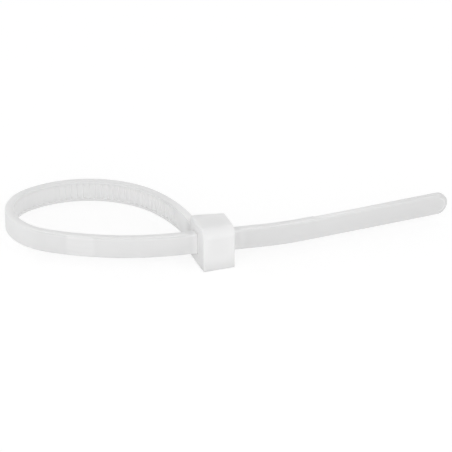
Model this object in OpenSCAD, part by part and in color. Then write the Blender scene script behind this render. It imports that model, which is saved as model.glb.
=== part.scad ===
// Closed moulded cable tie: a toothed strap bent into a loop and run through its own head.
// Seen from above, the tail leaves the head along +X and the loop lies to the left of it.
// The strap stands on edge: its width runs along Z. The head's underside lies on Z = 0.

/* [Strap] */
// Width of the strap
strap_w = 2.5; // [2.3:0.1:2.9]
// Thickness of the strap over its side rails
strap_t = 1; // [0.95:0.05:1.15]
// Rounding of the long edges of the smooth outer face
edge_r = 0.2; // [0.1:0.05:0.25]

/* [Rack] */
// Distance from tooth to tooth
tooth_pitch = 0.72; // [0.66:0.02:0.84]
// Height of a tooth from root to tip
tooth_h = 0.26; // [0.2:0.02:0.28]
// Share of the pitch taken by the steep locking face
steep_share = 0.15; // [0.1:0.05:0.25]
// Width of each smooth rail beside the teeth
rail_w = 0.3; // [0.25:0.05:0.4]
// How far the rails stand above the tooth tips
rail_rise = 0.06; // [0.04:0.01:0.1]
// Stretch between the head and the first tooth
neck_plain = 5; // [3:0.5:9]
// Part of that stretch over which the channel rises to the plain neck
neck_ramp = 1.6; // [0.8:0.1:2]
// Toothed stretch of the tail, measured from the middle of the head
rack_out = 12; // [8:0.5:18]
// Stretch over which the rails sink to the plain tail
rack_fade = 3; // [1.5:0.5:4]

/* [Loop] */
// Radius of the gently bowed front run
front_r = 27.7; // [27.4:0.1:29]
// Angle the front run turns through
front_turn = 31; // [30.5:0.5:32]
// Radius of the shoulder before the tight end
shoulder_r = 6.75; // [6.6:0.05:7]
// Angle the shoulder turns through
shoulder_turn = 48; // [47.5:0.5:49]
// Radius of the tight end of the loop
end_r = 5.4; // [5.35:0.05:5.6]
// Angle the tight end turns through
end_turn = 74; // [73:0.5:75]
// Radius of the rounded back of the loop
back_r = 11; // [10.8:0.1:11.2]
// Angle the back turns through
back_turn = 87; // [86.5:0.5:88]
// Radius of the last bend before the head
neck_r = 19; // [17:0.5:19.5]

/* [Tail] */
// Straight run from the middle of the head to the tail's bend
tail_lead = 5.8; // [5:0.2:8]
// Radius of the tail's bend
tail_r = 27; // [24:1:60]
// Angle the tail turns through
tail_turn = 10.5; // [6:0.5:14]
// Straight run from the bend to the tip
tail_run = 17.9; // [14:0.1:24]
// Thickness of the tail beyond the teeth
tail_t = 0.9; // [0.8:0.02:0.92]
// Width of the bevel round the tip, on the smooth outer face
tip_bevel = 0.5; // [0.3:0.05:0.7]
// Depth of that bevel at the very end
tip_drop = 0.3; // [0.2:0.05:0.4]

/* [Head] */
// Width of the head, along the strap's width
head_w = 5.1; // [4.9:0.1:6]
// Depth of the head from its entry face to its exit face
head_depth = 3.86; // [3.7:0.02:4.4]
// Distance from the middle of the slot to the free end
head_free = 2.4; // [2.2:0.02:2.9]
// Distance from the middle of the slot to the neck end, on the entry face
head_neck = 2.08; // [2.04:0.02:2.6]
// Slope of the neck end down to the exit face, in degrees
neck_slope = 12; // [6:1:14]
// Angle by which the head is turned from square to the slot
head_yaw = 7; // [4:1:9]
// Draft of the entry and exit faces, in degrees
head_draft = 1; // [0.5:0.5:2]
// Rounding of the upper edge of the free end
upper_r = 1.2; // [0.4:0.1:1.5]
// Rounding of the upper edges over the slot's two faces
brow_r = 0.2; // [0.1:0.05:0.5]
// Rounding of the head's other corners
corner_r = 0.18; // [0.1:0.02:0.3]

/* [Slot and pawl] */
// Clearance between the strap and the slot
slot_gap = 0.05; // [0.04:0.01:0.1]
// Clearance between the pawl's teeth and the rack
mesh_gap = 0.06; // [0.04:0.01:0.08]
// Number of teeth on the pawl
pawl_teeth = 2; // [1:1:2]
// Thickness of the pawl at its root
pawl_root = 0.42; // [0.35:0.01:0.5]
// Thickness of the pawl at its tip
pawl_tip = 0.24; // [0.2:0.01:0.3]
// Free space behind the pawl, into which it bends
pawl_relief = 0.2; // [0.15:0.01:0.25]
// Flare of the slot at the entry face, on the pawl's side
lead_in = 0.2; // [0.1:0.05:0.3]

/* [Hidden] */
$fn = 48;
mid_z = head_w / 2;
arc_steps = 4;
nylon = [0.93, 0.94, 0.93];

// The channel's floor lies a little below the tooth roots, under the rack that stands on it.
root_web = 0.04;

// Across the strap, u runs from the smooth outer face to the toothed face, with 0 in the middle.
outer_u = -strap_t / 2;
inner_u = strap_t / 2;
tip_u = inner_u - rail_rise;
root_u = tip_u - tooth_h;
floor_u = root_u - root_web;
core_u = (floor_u + outer_u) / 2;
tail_u = outer_u + tail_t;
rail_r = 0.07;
channel_w = strap_w - 2 * rail_w;

// Pieces of strap meet end to end. Every second one is smaller all round by a hair and laps
// into its neighbours, so that no two surfaces lie on each other.
hair = 0.003;
lap = 0.05;
rack_w = channel_w + 2 * lap;
rack_margin = 0.1;
fade_steps = 6;

// The strap ends inside the head, just within its entry face.
neck_inset = 0.08;
neck_seat = 0.45;
neck_heading = head_yaw - 90;

// A state is [x, y, heading]. A leg is [length, turn], and every leg turns clockwise.
function right_of(h) = [sin(h), -cos(h)];
function along(h) = [cos(h), sin(h)];
function bend(r, turn) = [r * turn * PI / 180, turn];
function bend_r(leg) = leg[0] / (leg[1] * PI / 180);
function moved(s, v, turn) = [s[0] + v[0], s[1] + v[1], s[2] - turn];
function ahead(s, leg) =
    leg[1] == 0 ? moved(s, leg[0] * along(s[2]), 0)
    : moved(s, bend_r(leg) * (right_of(s[2]) - right_of(s[2] - leg[1])), leg[1]);
function before(s, leg) =
    leg[1] == 0 ? moved(s, -leg[0] * along(s[2]), 0)
    : moved(s, bend_r(leg) * (right_of(s[2]) - right_of(s[2] + leg[1])), -leg[1]);
function walk(s, list, n) = n == 0 ? s : ahead(walk(s, list, n - 1), list[n - 1]);
function run(list, n) = n == 0 ? 0 : run(list, n - 1) + list[n - 1][0];
function turned(p, a) = [p[0] * cos(a) - p[1] * sin(a), p[0] * sin(a) + p[1] * cos(a)];

// The loop closes on the head: the straight runs at its two ends follow from the bends between them.
slot_middle = [0, 0, 180];
neck_turn = 180 - neck_heading - front_turn - shoulder_turn - end_turn - back_turn;
bends = [
    bend(front_r, front_turn),
    bend(shoulder_r, shoulder_turn),
    bend(end_r, end_turn),
    bend(back_r, back_turn),
    bend(neck_r, neck_turn)
];
bends_end = walk(slot_middle, bends, len(bends));
neck_point = turned([-head_depth / 2 + neck_inset + strap_t / 2, head_neck], head_yaw);
neck_run = (neck_point[1] - bends_end[1]) / sin(neck_heading);
front_run = bends_end[0] + neck_run * cos(neck_heading) - neck_point[0];

// The whole strap from the tip of the tail to its end inside the head.
legs = concat(
    [[tail_run, 0], bend(tail_r, tail_turn), [tail_lead + front_run, 0]],
    bends,
    [[neck_run + neck_seat, 0]]
);
tail_end = before(before(before(slot_middle, [tail_lead, 0]), legs[1]), legs[0]);
joints = [for (i = [0 : len(legs)]) walk(tail_end, legs, i)];
marks = [for (i = [0 : len(legs)]) run(legs, i)];
head_s = marks[2] + tail_lead;
neck_s = marks[len(legs)] - neck_seat;
tip_s = strap_w / 2;

function part_of(leg, d) = [d, leg[1] * d / leg[0]];
function state_on(i, s) = ahead(joints[i], part_of(legs[i], s - marks[i]));
function leg_at(s, i = 0) = i == len(legs) - 1 || s < marks[i + 1] ? i : leg_at(s, i + 1);
function state_at(s) = state_on(leg_at(s), s);
function point_at(s, u) = let (p = state_at(s)) [p[0], p[1]] + u * right_of(p[2]);

// Tooth i starts at its root and rises along the strap, then drops at its steep locking face.
function tooth_s(i) = head_s + (i - 0.5) * tooth_pitch;
tooth_rise = (1 - steep_share) * tooth_pitch;
teeth_out = floor(rack_out / tooth_pitch);
teeth_in = floor((neck_s - neck_plain - head_s) / tooth_pitch);
rack_from = tooth_s(-teeth_out);
rack_to = tooth_s(teeth_in);

// Rounded corners of a profile, each point given as [x, y, radius].
function unit(v) = v / norm(v);
function xy(p) = [p[0], p[1]];
function folded(a) = a > 180 ? a - 360 : a < -180 ? a + 360 : a;
function corner(a, b, c) =
    let (
        to_a = unit(xy(a) - xy(b)),
        to_c = unit(xy(c) - xy(b)),
        half = acos(to_a * to_c) / 2,
        middle = xy(b) + unit(to_a + to_c) * b[2] / sin(half),
        from = xy(b) + to_a * b[2] / tan(half) - middle,
        to = xy(b) + to_c * b[2] / tan(half) - middle,
        start = atan2(from[1], from[0]),
        sweep = folded(atan2(to[1], to[0]) - start)
    )
    [for (k = [0 : arc_steps]) middle + b[2] * along(start + sweep * k / arc_steps)];
function rounded(points) =
    let (n = len(points))
    [for (i = [0 : n - 1]) each corner(points[(i + n - 1) % n], points[i], points[(i + 1) % n])];

// Sections of the strap, with u along x and the strap's width along y, each smaller by cut all round.
module slab(u0, u1, r0, r1, cut) {
    a = u0 + cut;
    b = u1 - cut;
    h = strap_w / 2 - cut;
    polygon(rounded([[a, -h, r0], [b, -h, r1], [b, h, r1], [a, h, r0]]));
}

module tail_section(cut) {
    slab(outer_u, tail_u, edge_r, edge_r, cut);
}

module rack_section(cut) {
    difference() {
        slab(outer_u, inner_u, edge_r, rail_r, cut);
        translate([floor_u - cut, -channel_w / 2 - cut])
            square([strap_t, channel_w + 2 * cut]);
    }
}

module neck_section(cut) {
    slab(outer_u, inner_u, edge_r, rail_r, cut);
}

// The strap's three stretches: the plain tail, the rack and the plain neck.
zone_ends = [tip_s, rack_from - rack_margin, rack_to + neck_ramp, marks[len(legs)]];
module section(zone, cut) {
    if (zone == 0) tail_section(cut);
    if (zone == 1) rack_section(cut);
    if (zone == 2) neck_section(cut);
}

module placed(state) {
    translate([state[0], state[1], mid_z])
        rotate(state[2])
            children();
}

// One straight or bent piece of strap, from the origin along +X, bending to the right.
module piece(leg) {
    if (leg[1] == 0) {
        rotate([90, 0, 90])
            linear_extrude(leg[0])
                mirror([1, 0])
                    children();
    } else {
        translate([0, -bend_r(leg), 0])
            rotate(90 - leg[1])
                rotate_extrude(angle = leg[1])
                    translate([bend_r(leg), 0])
                        mirror([1, 0])
                            children();
    }
}

module strap_pieces() {
    for (zone = [0 : 2], i = [0 : len(legs) - 1]) {
        lapped = (zone + i) % 2;
        from = max(zone_ends[zone], marks[i]) - lapped * lap;
        to = min(zone_ends[zone + 1], marks[i + 1]) + lapped * lap;
        if (to - from > 2 * lap)
            placed(state_on(i, from))
                piece(part_of(legs[i], to - from))
                    section(zone, lapped * hair);
    }
}

// The rounded end: half of the tail's own section, turned about the middle of its width.
module tail_tip() {
    placed(state_at(tip_s))
        rotate([90, 0, 0])
            rotate_extrude()
                rotate(90)
                    intersection() {
                        tail_section(hair);
                        translate([-strap_t, -strap_w])
                            square([2 * strap_t, strap_w]);
                    }
}

// The teeth and, after the last of them, the floor that rises into the neck.
module rack() {
    ramps = [for (i = [-teeth_out : teeth_in - 1]) each [
        point_at(tooth_s(i), root_u),
        point_at(tooth_s(i) + tooth_rise, tip_u)
    ]];
    rise = [
        point_at(rack_to, root_u),
        point_at(rack_to + neck_ramp + lap, inner_u - 2 * hair),
        point_at(rack_to + neck_ramp + lap, core_u)
    ];
    back = [for (i = [teeth_in : -1 : -teeth_out]) point_at(tooth_s(i), core_u)];
    translate([0, 0, mid_z - rack_w / 2])
        linear_extrude(rack_w)
            polygon(concat(ramps, rise, back));
}

// What is taken off the rails and teeth so that they sink to the plain tail. It starts and ends
// a hair above the strap's faces.
module fade_cut() {
    from = rack_from - rack_margin;
    slope = [for (k = [0 : fade_steps]) let (t = k / fade_steps)
        point_at(from + t * rack_fade, tail_u + (inner_u - tail_u) * t + hair)];
    above = [for (k = [fade_steps : -1 : 0])
        point_at(from + k / fade_steps * rack_fade, inner_u + strap_t)];
    translate([0, 0, mid_z - strap_w])
        linear_extrude(2 * strap_w)
            polygon(concat(slope, above));
}

// The bevel is part of a cone about a point set back from the tip's own middle, so that it is
// widest at the very end and runs out along both sides.
module tip_cut() {
    far = strap_w / 2 + 2 * tip_bevel;
    placed(state_at(tip_s + tip_bevel))
        rotate([90, 0, 0])
            rotate(90)
                rotate_extrude(angle = 180)
                    polygon([
                        [strap_w / 2 - tip_bevel, outer_u - tip_drop],
                        [far, outer_u + 2 * tip_drop],
                        [far, outer_u - tip_drop]
                    ]);
}

module strap() {
    difference() {
        union() {
            tail_tip();
            strap_pieces();
            rack();
        }
        fade_cut();
        tip_cut();
    }
}

// The head seen from above: square to its own faces, with the neck end sloping to the exit face.
module head_plan() {
    entry_x = -head_depth / 2;
    taper = (head_neck + head_free) * tan(head_draft);
    polygon(rounded([
        [entry_x, head_neck, corner_r],
        [entry_x + taper, -head_free, corner_r],
        [-entry_x - taper, -head_free, corner_r],
        [-entry_x, head_neck - head_depth * tan(neck_slope), corner_r]
    ]));
}

// The head seen along the slot, with a well rounded upper edge at the free end.
module head_side() {
    difference() {
        polygon(rounded([
            [-head_free, 0, corner_r],
            [head_neck, 0, corner_r],
            [head_neck, head_w, corner_r],
            [-head_free, head_w, corner_r]
        ]));
        translate([upper_r - head_free, head_w - upper_r])
            difference() {
                translate([-2 * upper_r, 0])
                    square(2 * upper_r);
                circle(upper_r);
            }
    }
}

// The head seen from its free end.
module head_front() {
    polygon(rounded([
        [-head_depth / 2, 0, corner_r],
        [head_depth / 2, 0, corner_r],
        [head_depth / 2, head_w, brow_r],
        [-head_depth / 2, head_w, brow_r]
    ]));
}

wall_u = inner_u + slot_gap;
pawl_w = channel_w - 2 * slot_gap;
pawl_free = pawl_teeth * tooth_pitch - 0.5 * tooth_pitch + steep_share * tooth_pitch;
entry_wall = 0.9;
pawl_hinge = entry_wall - head_depth / 2;
pawl_bite = 0.2;
pawl_inset = 0.05;
flare_run = 0.6;
beyond = head_depth;

// The slot, its flared mouth and the pocket behind the pawl, as one outline seen from above.
module slot_cut() {
    mouth = flare_run - head_depth / 2;
    flare = lead_in * (beyond - head_depth / 2 + flare_run) / flare_run;
    translate([0, 0, mid_z - strap_w / 2 - slot_gap])
        linear_extrude(strap_w + 2 * slot_gap)
            polygon([
                [-beyond, -wall_u],
                [beyond, -wall_u],
                [beyond, wall_u + pawl_tip + pawl_relief],
                [pawl_free, wall_u + pawl_tip + pawl_relief],
                [pawl_hinge, wall_u + pawl_root + pawl_relief],
                [pawl_hinge, wall_u],
                [mouth, wall_u],
                [-beyond, wall_u + flare]
            ]);
}

// The pawl points to the exit. Its teeth repeat the rack's, moved off it by the clearance.
module pawl() {
    teeth = [for (k = [pawl_teeth : -1 : 1]) each [
        [(k - 0.5 + steep_share) * tooth_pitch - mesh_gap, tip_u + mesh_gap],
        [(k - 0.5) * tooth_pitch - mesh_gap, root_u + mesh_gap]
    ]];
    heel = 0.5 * tooth_pitch - tooth_rise - mesh_gap;
    translate([0, 0, mid_z - pawl_w / 2])
        linear_extrude(pawl_w)
            polygon(concat(
                [[pawl_free - mesh_gap, wall_u + pawl_tip]],
                teeth,
                [
                    [heel, tip_u + mesh_gap],
                    [pawl_hinge, wall_u],
                    [pawl_hinge - pawl_bite, wall_u + pawl_inset],
                    [pawl_hinge - pawl_bite, wall_u + pawl_root - pawl_inset],
                    [pawl_hinge, wall_u + pawl_root]
                ]
            ));
}

module head() {
    difference() {
        rotate(head_yaw)
            intersection() {
                linear_extrude(head_w)
                    head_plan();
                rotate([90, 0, 90])
                    linear_extrude(2 * head_depth, center = true)
                        head_side();
                rotate([90, 0, 0])
                    linear_extrude(2 * head_w, center = true)
                        head_front();
            }
        slot_cut();
    }
    pawl();
}

module cable_tie() {
    color(nylon) {
        strap();
        head();
    }
}

cable_tie();
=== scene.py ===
# %% [markdown]
# # A closed cable tie, dressed from its CAD solid
# The real thing is one moulding of undyed nylon: a toothed strap, pulled through the ratchet
# in its own head and left with a long tail. The solid already has every tooth, the slot and
# the pawl, so this file adds what the eye reads as nylon: soft scattered light inside a thin
# wall, a satin skin and faint unevenness. Units are metres and the frame is the solid's own.

# %% Load the solid
import math

import bpy
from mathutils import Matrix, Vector

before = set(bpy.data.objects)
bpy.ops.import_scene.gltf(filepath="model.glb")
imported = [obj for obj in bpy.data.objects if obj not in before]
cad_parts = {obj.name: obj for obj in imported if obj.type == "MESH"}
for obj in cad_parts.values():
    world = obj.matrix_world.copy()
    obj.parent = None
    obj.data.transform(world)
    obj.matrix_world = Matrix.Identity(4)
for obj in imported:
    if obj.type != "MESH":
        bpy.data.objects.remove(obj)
bpy.context.view_layer.update()
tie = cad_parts["cable_tie"]
MM = 0.001


def in_mm(corner):
    return [round(value / MM, 2) for value in corner]


print("faces:", len(tie.data.polygons))

# %% [markdown]
# ## The camera
# The photograph looks as if it was taken with a long lens, from above the bench at an easy
# slant. The strap's parallel edges hardly converge, so the camera stands far off for so small
# a thing, about eight times the tie's length. The direction, the point it looks at and the
# lens were fitted to the outline of the loop, so the camera goes straight to that place. A
# constraint that tracks an empty would do as well, but nothing here moves for it to follow.

# %% Place the camera
IMAGE = 452
TARGET = Vector((2.226, 3.106, 2.55)) * MM
AZIMUTH = math.radians(12.19)
ELEVATION = math.radians(28)
DISTANCE = 400 * MM
FOCAL_PIXELS = 3520
SENSOR_WIDTH = 36

camera_data = bpy.data.cameras.new("camera")
camera_data.sensor_width = SENSOR_WIDTH
camera_data.lens = FOCAL_PIXELS / IMAGE * SENSOR_WIDTH
camera_data.clip_start = 0.01
camera_data.clip_end = 20
camera = bpy.data.objects.new("camera", camera_data)
bpy.context.scene.collection.objects.link(camera)
gaze = Vector((
    math.sin(AZIMUTH) * math.cos(ELEVATION),
    math.cos(AZIMUTH) * math.cos(ELEVATION),
    -math.sin(ELEVATION),
))
camera.location = TARGET - DISTANCE * gaze
camera.rotation_mode = "QUATERNION"
camera.rotation_quaternion = gaze.to_track_quat("-Z", "Y")
bpy.context.scene.camera = camera
print("lens in mm:", round(camera_data.lens, 1), "camera at mm:", in_mm(camera.location))

# %% [markdown]
# ## Small helpers for nodes
# A material is a graph, and most of its steps repeat: add a node, give it a value or a link,
# pass its result on. A few helpers keep the cells below short enough to read as a recipe.
# `set_input` takes either a plain value or another node's output, so a number can later be
# exchanged for a pattern without rewriting the cell.


# %% Node helpers
def add_node(tree, kind, **settings):
    node = tree.nodes.new(kind)
    for name, value in settings.items():
        setattr(node, name, value)
    return node


def set_input(tree, socket, value):
    if isinstance(value, bpy.types.NodeSocket):
        tree.links.new(value, socket)
    else:
        socket.default_value = value


def calc(tree, operation, first, second):
    node = add_node(tree, "ShaderNodeMath", operation=operation)
    set_input(tree, node.inputs[0], first)
    set_input(tree, node.inputs[1], second)
    return node.outputs["Value"]


def ramp(tree, value, start, end, low, high, curve="LINEAR"):
    node = add_node(tree, "ShaderNodeMapRange", interpolation_type=curve)
    node.inputs["From Min"].default_value = start
    node.inputs["From Max"].default_value = end
    node.inputs["To Min"].default_value = low
    node.inputs["To Max"].default_value = high
    tree.links.new(value, node.inputs["Value"])
    return node.outputs["Result"]


# %% [markdown]
# ## Masks made of boxes
# Undyed nylon is milky. Light goes into it, scatters and comes out again some way off, and
# how much of it comes back differs from place to place. A mask says where a place begins and
# ends. Several masks here are boxes in the solid's own coordinates, and each fades out just
# past its faces. It would be as easy to paint them on vertices, but a box needs no extra mesh
# data and stays sharp at any distance. The boxes' middles and half sizes are in millimetres,
# and a fade is a share of the half size.


# %% Box helpers
def vector_calc(tree, operation, first, second=None):
    node = add_node(tree, "ShaderNodeVectorMath", operation=operation)
    set_input(tree, node.inputs[0], first)
    if second is not None:
        set_input(tree, node.inputs[1], second)
    return node


def box_space(tree, place, middle, half_size, turn):
    space = add_node(tree, "ShaderNodeMapping", vector_type="TEXTURE")
    space.inputs["Location"].default_value = Vector(middle) * MM
    space.inputs["Rotation"].default_value = (0, 0, turn)
    space.inputs["Scale"].default_value = Vector(half_size) * MM
    tree.links.new(place, space.inputs["Vector"])
    return vector_calc(tree, "ABSOLUTE", space.outputs["Vector"]).outputs["Vector"]


def split(tree, vector):
    node = add_node(tree, "ShaderNodeSeparateXYZ")
    tree.links.new(vector, node.inputs["Vector"])
    return node.outputs


def inside(tree, space, fade):
    distance = split(tree, space)
    flat_reach = calc(tree, "MAXIMUM", distance["X"], distance["Y"])
    reach = calc(tree, "MAXIMUM", flat_reach, distance["Z"])
    return ramp(tree, reach, 1, 1 + fade, 1, 0, "SMOOTHSTEP")


# %% [markdown]
# ## The head, its slot and the strap beside it
# The head is a block four millimetres deep and gives nearly all of its light back, while the
# strap, one millimetre thin, lets part of it escape behind and looks greyer. The colour paints
# this in as painted light: the head gets a paler grey than the strap. One box marks the head,
# turned as the head is. A wider one takes in the strap just outside it, and a narrow one the
# inside of the slot.

# %% Head masks
nylon = bpy.data.materials.new("natural_nylon")
nylon.use_nodes = True
tree = nylon.node_tree
skin = tree.nodes["Principled BSDF"]
coordinates = add_node(tree, "ShaderNodeTexCoord")
place = coordinates.outputs["Object"]
normal = coordinates.outputs["Normal"]

HEAD_MIDDLE = (0.1, -0.2, 2.55)
HEAD_HALF = (1.95, 2.3, 2.6)
HEAD_YAW = math.radians(7)
HEAD_FADE = 0.45
in_head = inside(tree, box_space(tree, place, HEAD_MIDDLE, HEAD_HALF, HEAD_YAW), HEAD_FADE)

NEAR_HEAD_HALF = (2.6, 3.0, 3.0)
NEAR_HEAD_FADE = 0.5
near_head_space = box_space(tree, place, HEAD_MIDDLE, NEAR_HEAD_HALF, HEAD_YAW)
near_head = inside(tree, near_head_space, NEAR_HEAD_FADE)

SLOT_MIDDLE = (0, 0, 2.55)
SLOT_HALF = (1.85, 0.85, 1.4)
SLOT_FADE = 0.1
in_slot = inside(tree, box_space(tree, place, SLOT_MIDDLE, SLOT_HALF, 0), SLOT_FADE)
print("half sizes in mm of the head's box:", HEAD_HALF, "and of the slot's:", SLOT_HALF)

# %% [markdown]
# ## The head's edges and corners
# In the photograph the head is palest in the middle of its front and greyer towards its edges
# and corners, and the colour copies that as painted shade. The distance from a core inside the
# head, counted in half sizes of the head's box, tells the two apart. The core lies a little high
# and forward, because the upper front edge is pale too, and distance along the strap counts for
# less, because the front keeps its tone nearly to its left and right ends.

# %% Corner mask
CORE_MIDDLE = (0.1, -0.4, 3.0)
ALONG_SHARE = 0.65
PALE_REACH = 1.0
GREY_REACH = 1.5

core_space = box_space(tree, place, CORE_MIDDLE, HEAD_HALF, HEAD_YAW)
flat_space = vector_calc(tree, "MULTIPLY", core_space, (ALONG_SHARE, 1, 1)).outputs["Vector"]
reach = vector_calc(tree, "LENGTH", flat_space).outputs["Value"]
head_corner_shade = ramp(tree, reach, PALE_REACH, GREY_REACH, 0, 1, "SMOOTHSTEP")
print("the corners' grey starts at", PALE_REACH, "half sizes from the core")

# %% [markdown]
# ## Stretches of the strap
# The tail leaves the head along X, and the loop lies behind and to the left of the head, so
# plain ramps on X and Y mark the strap's stretches: the tail, the way to its tip, the loop's
# end at the head with its neck, the tight bend on the left, and the loop's far side.

# %% Stretch masks
TAIL_FROM = 1.9 * MM
TAIL_TO = 2.6 * MM
TIP_FROM = 6 * MM
TIP_TO = 26 * MM
NECK_FROM = -10 * MM
NECK_TO = -4 * MM
BEND_FROM = -18.5 * MM
BEND_TO = -21.5 * MM
BACK_FROM = 4 * MM
BACK_TO = 10 * MM

axes = split(tree, place)
in_tail = ramp(tree, axes["X"], TAIL_FROM, TAIL_TO, 0, 1, "SMOOTHSTEP")
at_tip = ramp(tree, axes["X"], TIP_FROM, TIP_TO, 0, 1, "SMOOTHSTEP")
at_neck = ramp(tree, axes["X"], NECK_FROM, NECK_TO, 0, 1, "SMOOTHSTEP")
at_bend = ramp(tree, axes["X"], BEND_FROM, BEND_TO, 0, 1, "SMOOTHSTEP")
at_back = ramp(tree, axes["Y"], BACK_FROM, BACK_TO, 0, 1, "SMOOTHSTEP")
print("the tail's grey is full from mm:", round(TAIL_TO / MM, 2))

# %% [markdown]
# ## Which way a face looks
# Normals tell the strap's sides apart. The loop's inner side, which gets light back from the
# strand opposite, is every face that isn't turned well away from the loop's middle. Faces
# that look up are the strap's upper edge, and between that edge and the flat sides lies a
# narrow rounding. The normal used here is the solid's own, so the masks stay where they are
# when the camera moves.

# %% Side masks
LOOP_MIDDLE = (-11.0, 7.5, 2.55)
INNER_FROM = -0.6
INNER_TO = -0.2
to_middle = vector_calc(tree, "SUBTRACT", Vector(LOOP_MIDDLE) * MM, place).outputs["Vector"]
inward = vector_calc(tree, "NORMALIZE", to_middle).outputs["Vector"]
facing = vector_calc(tree, "DOT_PRODUCT", inward, normal).outputs["Value"]
inner_side = ramp(tree, facing, INNER_FROM, INNER_TO, 0, 1, "SMOOTHSTEP")

ROUND_START = (0.1, 0.4)
ROUND_END = (0.75, 0.95)
EDGE_START = (0.8, 0.97)
normal_up = split(tree, normal)["Z"]
on_edge = ramp(tree, normal_up, *EDGE_START, 0, 1, "SMOOTHSTEP")
past_side = ramp(tree, normal_up, *ROUND_START, 0, 1, "SMOOTHSTEP")
before_edge = ramp(tree, normal_up, *ROUND_END, 1, 0, "SMOOTHSTEP")
on_round = calc(tree, "MULTIPLY", past_side, before_edge)
print("a face is upper edge where its normal's Z is above", EDGE_START[0])

# %% [markdown]
# ## A patch of painted light
# On the front of the loop about three millimetres of the strap are painted paler, most of all
# along the upper and lower edges. The outline shows no step there. The pale patch is painted
# light, standing for light on the strap at that place.

# %% Patch of painted light
LIGHT_PATCH_MIDDLE = (-14.85, 0.9, 2.55)
LIGHT_PATCH_HALF = (1.15, 2.4, 1.25)
LIGHT_PATCH_FADE = 0.5
LIGHT_PATCH_EDGE = (0.6, 0.95)
LIGHT_PATCH_CENTRE_SHARE = 0.45
light_patch_space = box_space(tree, place, LIGHT_PATCH_MIDDLE, LIGHT_PATCH_HALF, 0)
light_patch_box = inside(tree, light_patch_space, LIGHT_PATCH_FADE)
light_patch_height = split(tree, light_patch_space)["Z"]
light_patch_rim = ramp(tree, light_patch_height, *LIGHT_PATCH_EDGE, LIGHT_PATCH_CENTRE_SHARE, 1, "SMOOTHSTEP")
print("whitened stretch at mm:", LIGHT_PATCH_MIDDLE, "half size:", LIGHT_PATCH_HALF)

# %% [markdown]
# Streaks along the strap keep the patch of painted light from looking like a plain box. Noise
# makes them: its scale is a number of lumps for each metre, and coordinates squeezed along the
# strap draw each lump out into a streak. Most of the noise lies between 0.3 and 0.7, so a ramp
# over that stretch uses its full range.


# %% Streaks
def noise(tree, coordinates, scale, detail):
    node = add_node(tree, "ShaderNodeTexNoise")
    node.inputs["Scale"].default_value = scale
    node.inputs["Detail"].default_value = detail
    tree.links.new(coordinates, node.inputs["Vector"])
    return node.outputs["Fac"]


STREAKS_PER_M = 2600
STREAK_STRETCH = 0.16
WEAKEST_STREAK = 0.6
NOISE_MIDDLE = (0.3, 0.7)
streak_space = add_node(tree, "ShaderNodeMapping")
streak_space.inputs["Scale"].default_value = (STREAK_STRETCH, STREAK_STRETCH, 1)
tree.links.new(place, streak_space.inputs["Vector"])
streak_noise = noise(tree, streak_space.outputs["Vector"], STREAKS_PER_M, 2)
streaks = ramp(tree, streak_noise, *NOISE_MIDDLE, WEAKEST_STREAK, 1)
light_patch = calc(tree, "MULTIPLY", light_patch_box, calc(tree, "MULTIPLY", light_patch_rim, streaks))
print("a streak is about this long in mm:", round(1 / (STREAKS_PER_M * STREAK_STRETCH * MM), 1))

# %% [markdown]
# ## The bevelled tip
# The tip is bevelled, so that it finds its way into the slot. The bevel is in the solid, but
# with so much scattered light it hardly shows. Two rings, measured from the middle of the
# half-round end, paint its light and shade into the colour: a painted highlight near the ridge
# where the bevel starts, placed as the photograph shows it, and painted shade on the thin rim
# beyond it. Only the tail's outer face is bevelled, so the rings fade out where the normal turns
# away from that side.

# %% Outer face of the tail's end
TIP_MIDDLE = (27.09, 3.49, 2.55)
TAIL_TURN = math.radians(10.5)
END_FADE = 0.3 * MM
OUTER_START = (-0.3, -0.05)

from_tip = vector_calc(tree, "SUBTRACT", place, Vector(TIP_MIDDLE) * MM).outputs["Vector"]
along_tail = (math.cos(TAIL_TURN), math.sin(TAIL_TURN), 0)
past_middle = vector_calc(tree, "DOT_PRODUCT", from_tip, along_tail).outputs["Value"]
in_end = ramp(tree, past_middle, 0, END_FADE, 0, 1)
outward = (math.sin(TAIL_TURN), -math.cos(TAIL_TURN), 0)
turned_out = vector_calc(tree, "DOT_PRODUCT", outward, normal).outputs["Value"]
outer_side = ramp(tree, turned_out, *OUTER_START, 0, 1)
on_end = calc(tree, "MULTIPLY", in_end, outer_side)
print("middle of the half-round end at mm:", TIP_MIDDLE)

# %% [markdown]
# The painted highlight rises and falls again within a seventh of a millimetre. The painted
# shade starts in the middle of it and stays on to the outline. Both are the end's mask times
# ramps on the distance from the middle of the end.

# %% Tip rings
RIDGE_FROM = 0.86 * MM
RIDGE_TO = 1.0 * MM
RIDGE_PEAK = (RIDGE_FROM + RIDGE_TO) / 2
RIM_TO = 1.12 * MM

tip_reach = vector_calc(tree, "LENGTH", from_tip).outputs["Value"]
ridge_rise = ramp(tree, tip_reach, RIDGE_FROM, RIDGE_PEAK, 0, 1)
ridge_fall = ramp(tree, tip_reach, RIDGE_PEAK, RIDGE_TO, 1, 0)
on_ridge = calc(tree, "MULTIPLY", on_end, calc(tree, "MULTIPLY", ridge_rise, ridge_fall))
on_rim = calc(tree, "MULTIPLY", on_end, ramp(tree, tip_reach, RIDGE_PEAK, RIM_TO, 0, 1))
print("pale ring in mm:", round(RIDGE_FROM / MM, 2), "to", round(RIDGE_TO / MM, 2))
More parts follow.
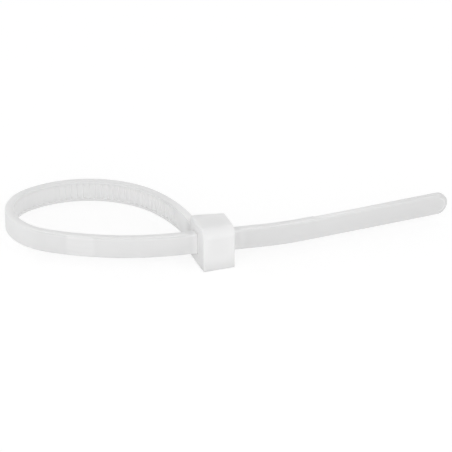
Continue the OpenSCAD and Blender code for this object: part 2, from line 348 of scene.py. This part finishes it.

# %% [markdown]
# ## Greys of the nylon, with painted light and shade
# Most of these greys were tuned, place by place, until the render came close to the
# photograph. The reasons are a reading of the result. Only the loop's two greys are the
# nylon's own; the others are painted light and shade. Thick nylon gives back more light than
# thin, so the head is painted paler and the tail darkest. The strap beside the head, the inside
# of the slot, the loop's inner side and neck, the left bend and the patch on the loop are painted
# light; the rounding, the back's upper edge, the way to the tip and the tip's rim are painted
# shade; the front's upper edge and the tip's ridge are painted highlights. The greys of the upper
# edge, the rounding, the left bend and the way to the tip partly make up for light that differs
# from the photograph's.

# %% Greys
LOOP_GREYS = (0.745, 0.785)
INNER_LIGHT_GREY = 0.83
NECK_LIGHT_GREY = 0.9
BEND_LIGHT_GREY = 0.89
BEND_INNER_LIGHT_GREY = 0.98
BEND_EDGE_PAINTED_LIGHT_GREY = 0.84
ROUND_SHADE_GREY = 0.7
EDGE_HIGHLIGHT_GREY = 0.93
BACK_EDGE_SHADE_GREY = 0.73
TAIL_SHADE_GREYS = (0.67, 0.695)
TIP_SHADE_GREY = 0.65
RIM_SHADE_GREY = 0.585
RIDGE_HIGHLIGHT_GREY = 0.8
LIGHT_PATCH_GREY = 0.9
NEAR_HEAD_LIGHT_GREY = 0.785
HEAD_LIGHT_GREY = 0.895
HEAD_CORNER_SHADE_GREY = 0.775
SLOT_LIGHT_GREY = 0.97
print("greys of tail, loop and head:", TAIL_SHADE_GREYS, LOOP_GREYS, (HEAD_CORNER_SHADE_GREY, HEAD_LIGHT_GREY))

# %% [markdown]
# ## Colour of the strap
# The colour is built up like coats of paint: each mix lays one grey over the ones before it,
# as far as its mask reaches. Soft clouds a few millimetres wide come first and shift the grey
# by a few hundredths, as uneven cooling of the nylon would. `grey` turns one number into the
# four that a colour socket wants.


# %% Strap colour
def mix_colour(tree, share, first, second):
    node = add_node(tree, "ShaderNodeMix", data_type="RGBA")
    set_input(tree, node.inputs["Factor"], share)
    set_input(tree, node.inputs["A"], first)
    set_input(tree, node.inputs["B"], second)
    return node.outputs["Result"]


def grey(value):
    return (value, value, value, 1)


CLOUDS_PER_M = 160
clouds = ramp(tree, noise(tree, place, CLOUDS_PER_M, 3), *NOISE_MIDDLE, 0, 1)
loop_colour = mix_colour(tree, clouds, grey(LOOP_GREYS[0]), grey(LOOP_GREYS[1]))
# Painted shade: the tail is painted darker than the loop.
tail_shade_colour = mix_colour(tree, clouds, grey(TAIL_SHADE_GREYS[0]), grey(TAIL_SHADE_GREYS[1]))
# Painted light: the loop's inner side, and more so at the neck, is painted lighter, standing for
# light thrown back by the strand opposite.
inner_light_colour = mix_colour(tree, at_neck, grey(INNER_LIGHT_GREY), grey(NECK_LIGHT_GREY))
loop_colour = mix_colour(tree, inner_side, loop_colour, inner_light_colour)
strap_colour = mix_colour(tree, in_tail, loop_colour, tail_shade_colour)

# Painted shade: the narrow rounding below the upper edge is painted darker.
strap_colour = mix_colour(tree, on_round, strap_colour, grey(ROUND_SHADE_GREY))
# Painted highlight on the upper edge at the front, and painted shade on it at the back.
edge_light_and_shade = mix_colour(tree, at_back, grey(EDGE_HIGHLIGHT_GREY), grey(BACK_EDGE_SHADE_GREY))
strap_colour = mix_colour(tree, on_edge, strap_colour, edge_light_and_shade)

# Painted shade: the strap is painted darker on the way to the tip.
strap_colour = mix_colour(tree, at_tip, strap_colour, grey(TIP_SHADE_GREY))
# Painted shade on the tip's rim, and a painted highlight on its ridge.
strap_colour = mix_colour(tree, on_rim, strap_colour, grey(RIM_SHADE_GREY))
strap_colour = mix_colour(tree, on_ridge, strap_colour, grey(RIDGE_HIGHLIGHT_GREY))

# Painted light: the left bend is painted lighter, most of all on its inner side, with its own
# painted grey on the upper edge.
bend_light_colour = mix_colour(tree, inner_side, grey(BEND_LIGHT_GREY), grey(BEND_INNER_LIGHT_GREY))
bend_light_colour = mix_colour(tree, on_edge, bend_light_colour, grey(BEND_EDGE_PAINTED_LIGHT_GREY))
strap_colour = mix_colour(tree, at_bend, strap_colour, bend_light_colour)
print("nodes so far:", len(tree.nodes))

# %% [markdown]
# ## The last coats
# Four coats of painted light and shade go over the strap's colour: a lighter grey on the strap
# beside the head, the patch of painted light on the loop, the head painted paler with painted
# shade at its corners, and at the end a lighter grey inside the slot.

# %% Head colour
# Painted light and shade: the head is painted paler than the strap, and greyer towards its edges
# and corners.
head_light_and_shade = mix_colour(tree, head_corner_shade, grey(HEAD_LIGHT_GREY), grey(HEAD_CORNER_SHADE_GREY))
# Painted light: the strap beside the head gets a lighter grey, which lifts the shade and the darker
# short walk there.
strap_colour = mix_colour(tree, near_head, strap_colour, grey(NEAR_HEAD_LIGHT_GREY))
# Painted light: the pale patch on the front of the loop.
patch_lit_colour = mix_colour(tree, light_patch, strap_colour, grey(LIGHT_PATCH_GREY))
colour = mix_colour(tree, in_head, patch_lit_colour, head_light_and_shade)
# Painted light: the inside of the slot gets a lighter grey.
colour = mix_colour(tree, in_slot, colour, grey(SLOT_LIGHT_GREY))
tree.links.new(colour, skin.inputs["Base Color"])
mixes = [node for node in tree.nodes if node.bl_idname == "ShaderNodeMix"]
print("colour mixes in the nylon:", len(mixes))

# %% [markdown]
# ## Satin skin
# Ties come out of their mould with a satin skin. A grain about a tenth of a millimetre wide
# varies the roughness and, as a bump of a few thousandths of a millimetre, keeps highlights
# from being glassy. Slow waves of a few hundredths bend long highlights a little, as no thin
# strap comes out of its mould quite flat.

# %% Skin
GRAIN_PER_M = 9000
GRAIN_STRENGTH = 0.15
GRAIN_DEPTH = 0.004 * MM
WAVES_PER_M = 450
WAVE_STRENGTH = 0.25
WAVE_DEPTH = 0.03 * MM
ROUGH_LOW = 0.5
ROUGH_HIGH = 0.64


def bump(tree, height, strength, depth, under=None):
    node = add_node(tree, "ShaderNodeBump")
    node.inputs["Strength"].default_value = strength
    node.inputs["Distance"].default_value = depth
    tree.links.new(height, node.inputs["Height"])
    if under is not None:
        tree.links.new(under, node.inputs["Normal"])
    return node.outputs["Normal"]


grain = noise(tree, place, GRAIN_PER_M, 2)
tree.links.new(ramp(tree, grain, 0, 1, ROUGH_LOW, ROUGH_HIGH), skin.inputs["Roughness"])
waves = bump(tree, noise(tree, place, WAVES_PER_M, 1), WAVE_STRENGTH, WAVE_DEPTH)
grainy = bump(tree, grain, GRAIN_STRENGTH, GRAIN_DEPTH, waves)
tree.links.new(grainy, skin.inputs["Normal"])
print("roughness from", ROUGH_LOW, "to", ROUGH_HIGH)

# %% [markdown]
# ## Light inside the plastic
# The Principled shader's subsurface inputs follow light on its walk through the solid. On the
# strap the walk is longer than the strap is thick, so light passes right through it. In the
# head and beside it the walk is shorter, so less light leaks round the edges of the block.
# The gap in the slot came out darker than in the photograph, so the inside of the slot is
# painted a lighter grey and has a very faint glow, both painted light: the mask is the glow's
# colour, and its strength is a plain number on the shader.

# %% Scatter
SCATTER = 3.5 * MM
HEAD_SCATTER = 0.7 * MM
NYLON_IOR = 1.53
SLOT_GLOW = 0.03

walk = ramp(tree, near_head, 0, 1, SCATTER, HEAD_SCATTER)
tree.links.new(walk, skin.inputs["Subsurface Scale"])
skin.inputs["Subsurface Weight"].default_value = 1.0
skin.inputs["Subsurface Radius"].default_value = (1, 1, 1)
skin.inputs["IOR"].default_value = NYLON_IOR
tree.links.new(in_slot, skin.inputs["Emission Color"])
skin.inputs["Emission Strength"].default_value = SLOT_GLOW

tie.data.materials.clear()
tie.data.materials.append(nylon)
print("material on the tie:", tie.data.materials[0].name, "nodes:", len(tree.nodes))

# %% [markdown]
# ## The floor
# Small products are photographed on a sweep of white card. The card is a plain pale plane
# that takes the tie's shadow. What the camera sees of it, and what a shiny surface mirrors,
# is part card and part glow, so it comes out white with a faint shadow. The soft light that
# it sends up to the tie is that of plain card.

# %% Floor
FLOOR_SIZE = 6
CARD_GREY = 0.93
SEEN_CARD_GREY = 0.45
SEEN_GLOW = 0.64


def is_seen(tree):
    rays = add_node(tree, "ShaderNodeLightPath").outputs
    mirrored = calc(tree, "MAXIMUM", rays["Is Glossy Ray"], rays["Is Transmission Ray"])
    return calc(tree, "MAXIMUM", rays["Is Camera Ray"], mirrored)


bpy.ops.mesh.primitive_plane_add(size=FLOOR_SIZE)
floor = bpy.context.object
floor.name = "floor"
card = bpy.data.materials.new("white_card")
card.use_nodes = True
tree = card.node_tree
tree.nodes.clear()
seen = is_seen(tree)
paper = add_node(tree, "ShaderNodeBsdfDiffuse")
tree.links.new(mix_colour(tree, seen, grey(CARD_GREY), grey(SEEN_CARD_GREY)), paper.inputs["Color"])
glow = add_node(tree, "ShaderNodeEmission")
tree.links.new(calc(tree, "MULTIPLY", seen, SEEN_GLOW), glow.inputs["Strength"])
both = add_node(tree, "ShaderNodeAddShader")
tree.links.new(paper.outputs["BSDF"], both.inputs[0])
tree.links.new(glow.outputs["Emission"], both.inputs[1])
output = add_node(tree, "ShaderNodeOutputMaterial")
tree.links.new(both.outputs["Shader"], output.inputs["Surface"])
floor.data.materials.append(card)
print("floor size in m:", floor.dimensions[0])

# %% [markdown]
# ## Room light
# In the photograph soft light comes from all round, as in a light tent, and no side is dark.
# The world does that job. It is dimmer overhead than at the sides, which keeps the upper
# edges from outshining the front. Where the camera or a reflection meets the world itself, it
# is white.

# %% World
WALL_LIGHT = 0.95
ROOF_LIGHT = 0.62
world = bpy.data.worlds.new("studio")
world.use_nodes = True
bpy.context.scene.world = world
tree = world.node_tree
sky = tree.nodes["Background"]
sky.inputs["Color"].default_value = (1, 1, 1, 1)
direction = add_node(tree, "ShaderNodeTexCoord").outputs["Generated"]
room = ramp(tree, split(tree, direction)["Z"], 0, 1, WALL_LIGHT, ROOF_LIGHT)
tree.links.new(calc(tree, "MAXIMUM", is_seen(tree), room), sky.inputs["Strength"])
print("light from the walls and the roof:", WALL_LIGHT, ROOF_LIGHT)

# %% [markdown]
# ## Two soft boxes
# A wide soft box stands in front, almost in line with the camera, and lights the faces that
# the picture shows. A weak one on the right fills in from there. Area lamps suit this, since
# their size is what makes a shadow soft.

# %% Soft boxes
KEY_PLACE = (-0.20, -0.85, 0.38)
KEY_SIZE = 0.9
KEY_WATTS = 1.95
FILL_PLACE = (0.5, -0.5, 0.5)
FILL_SIZE = 0.5
FILL_WATTS = 0.3


def soft_box(name, position, size, watts):
    data = bpy.data.lights.new(name, "AREA")
    data.size = size
    data.energy = watts
    lamp = bpy.data.objects.new(name, data)
    lamp.location = position
    lamp.rotation_mode = "QUATERNION"
    lamp.rotation_quaternion = (TARGET - Vector(position)).to_track_quat("-Z", "Y")
    bpy.context.scene.collection.objects.link(lamp)


soft_box("key_light", KEY_PLACE, KEY_SIZE, KEY_WATTS)
soft_box("fill_light", FILL_PLACE, FILL_SIZE, FILL_WATTS)

# %% [markdown]
# ## Colour
# The plain Standard view shows each colour about as it is written.

# %% Finish
bpy.context.scene.view_settings.view_transform = "Standard"
